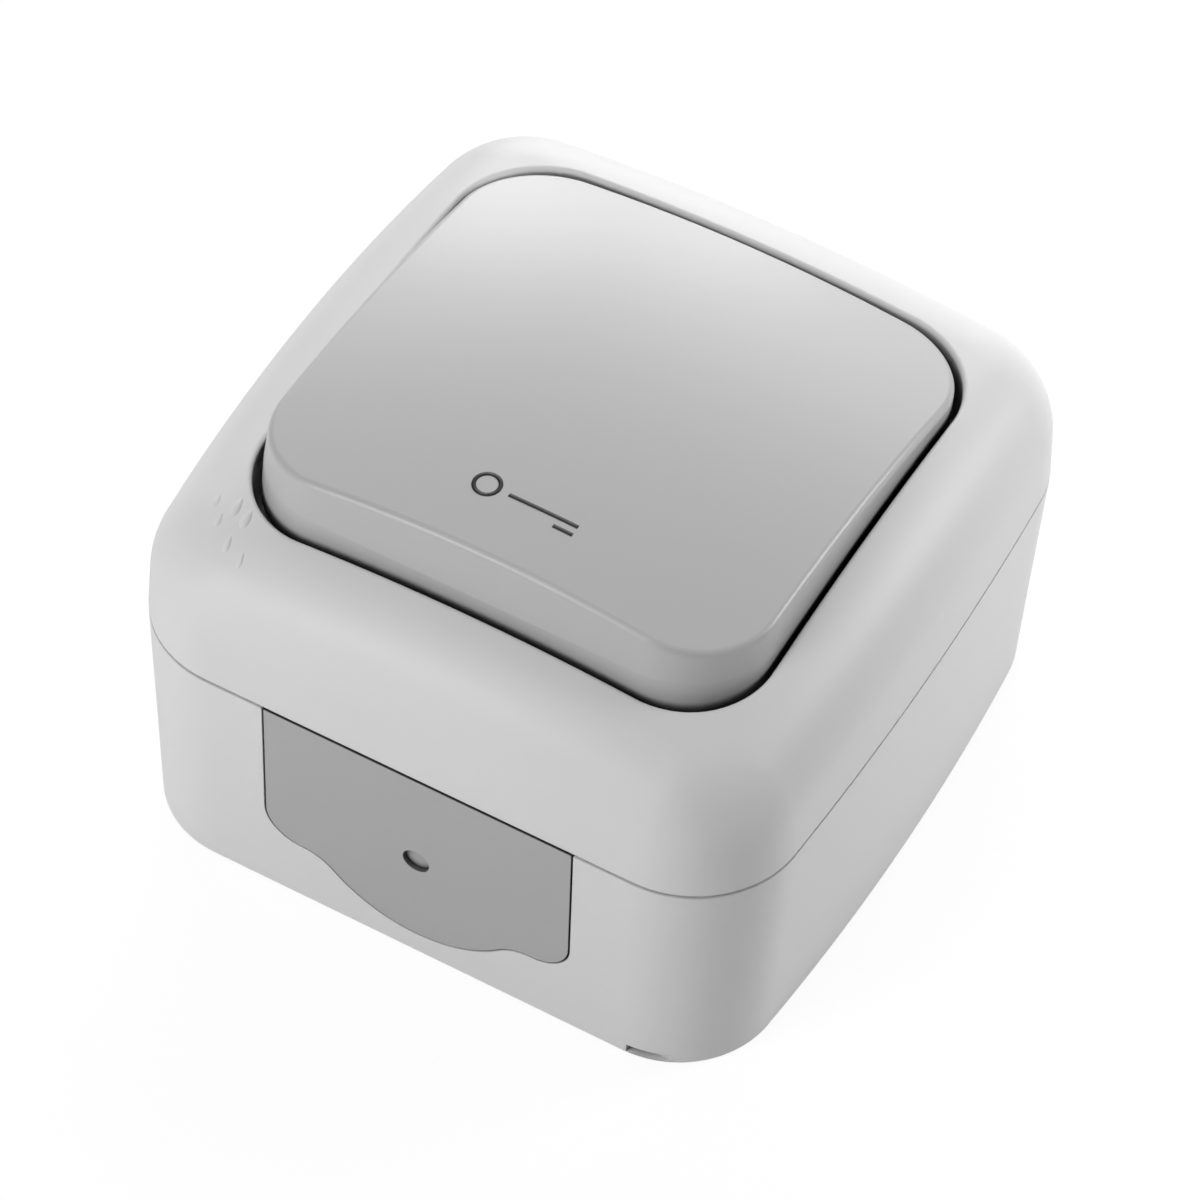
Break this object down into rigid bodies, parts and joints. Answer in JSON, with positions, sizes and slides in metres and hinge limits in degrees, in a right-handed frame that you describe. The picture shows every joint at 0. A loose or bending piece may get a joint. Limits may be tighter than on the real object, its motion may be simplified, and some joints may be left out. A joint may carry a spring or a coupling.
{
  "type": "surface-mounted rocker push switch",
  "caption": "Splash-proof surface-mounted push switch: square back box with a cable-entry plate, soft-edged crowned frame and a sprung rocker that works a contact plunger.",
  "frame": {"origin": "middle of the back face, in the wall plane", "axes": "+Z out of the wall towards the user, +Y up on the wall, -Y towards the cable entry, +X to the right as seen from the front"},
  "size_m": [0.066, 0.067, 0.0464],
  "materials": {
    "housing_plastic": "satin moulded light grey plastic",
    "rocker_plastic": "smooth half-gloss grey plastic",
    "plate_plastic": "fine matt mid grey plastic",
    "seal_rubber": "soft matt grey",
    "block_plastic": "matt off-white engineering plastic",
    "lid_plastic": "matt dark grey engineering plastic",
    "toggle_plastic": "waxy white plastic",
    "steel": "zinc-plated steel",
    "spring_steel": "drawn spring wire",
    "contact_brass": "stamped brass strip",
    "tip_silver": "silver alloy contact"
  },
  "bodies": {
    "housing": {"back_box": "housing_plastic", "front_frame": "housing_plastic", "cable_entry_plate": "plate_plastic", "frame_seal": "seal_rubber", "mechanism_block": "block_plastic", "mechanism_lid": "lid_plastic", "pivot_pin": "steel", "terminal_left": "contact_brass", "terminal_right": "contact_brass", "fixed_tips": "tip_silver", "wire_clamps": "steel", "terminal_screws": "steel", "mechanism_screws": "steel", "cover_screws": "steel"},
    "rocker_body": {"rocker": "rocker_plastic", "toggle": "toggle_plastic"},
    "contact_plunger": {"plunger": "lid_plastic", "contact_bridge": "contact_brass", "bridge_tips": "tip_silver", "spring_retainer": "steel", "contact_spring": "spring_steel", "return_spring": "spring_steel"}
  },
  "joints": [
    {"name": "rocker_press", "type": "hinge", "parent": "housing", "child": "rocker_body", "pos_m": [0, 0, 0.0385], "axis": [1, 0, 0], "range_deg": [0, 12.2], "stiffness_Nm_per_rad": 0.06, "springref_deg": -14.32},
    {"name": "plunger_slide", "type": "slide", "parent": "housing", "child": "contact_plunger", "axis": [0, 0, -1], "range_m": [0, 0.00191], "deforming": ["return_spring"]}
  ],
  "couplings": [
    {"joint": "rocker_press", "follows": "plunger_slide", "rad_per_m": 111.36}
  ]
}
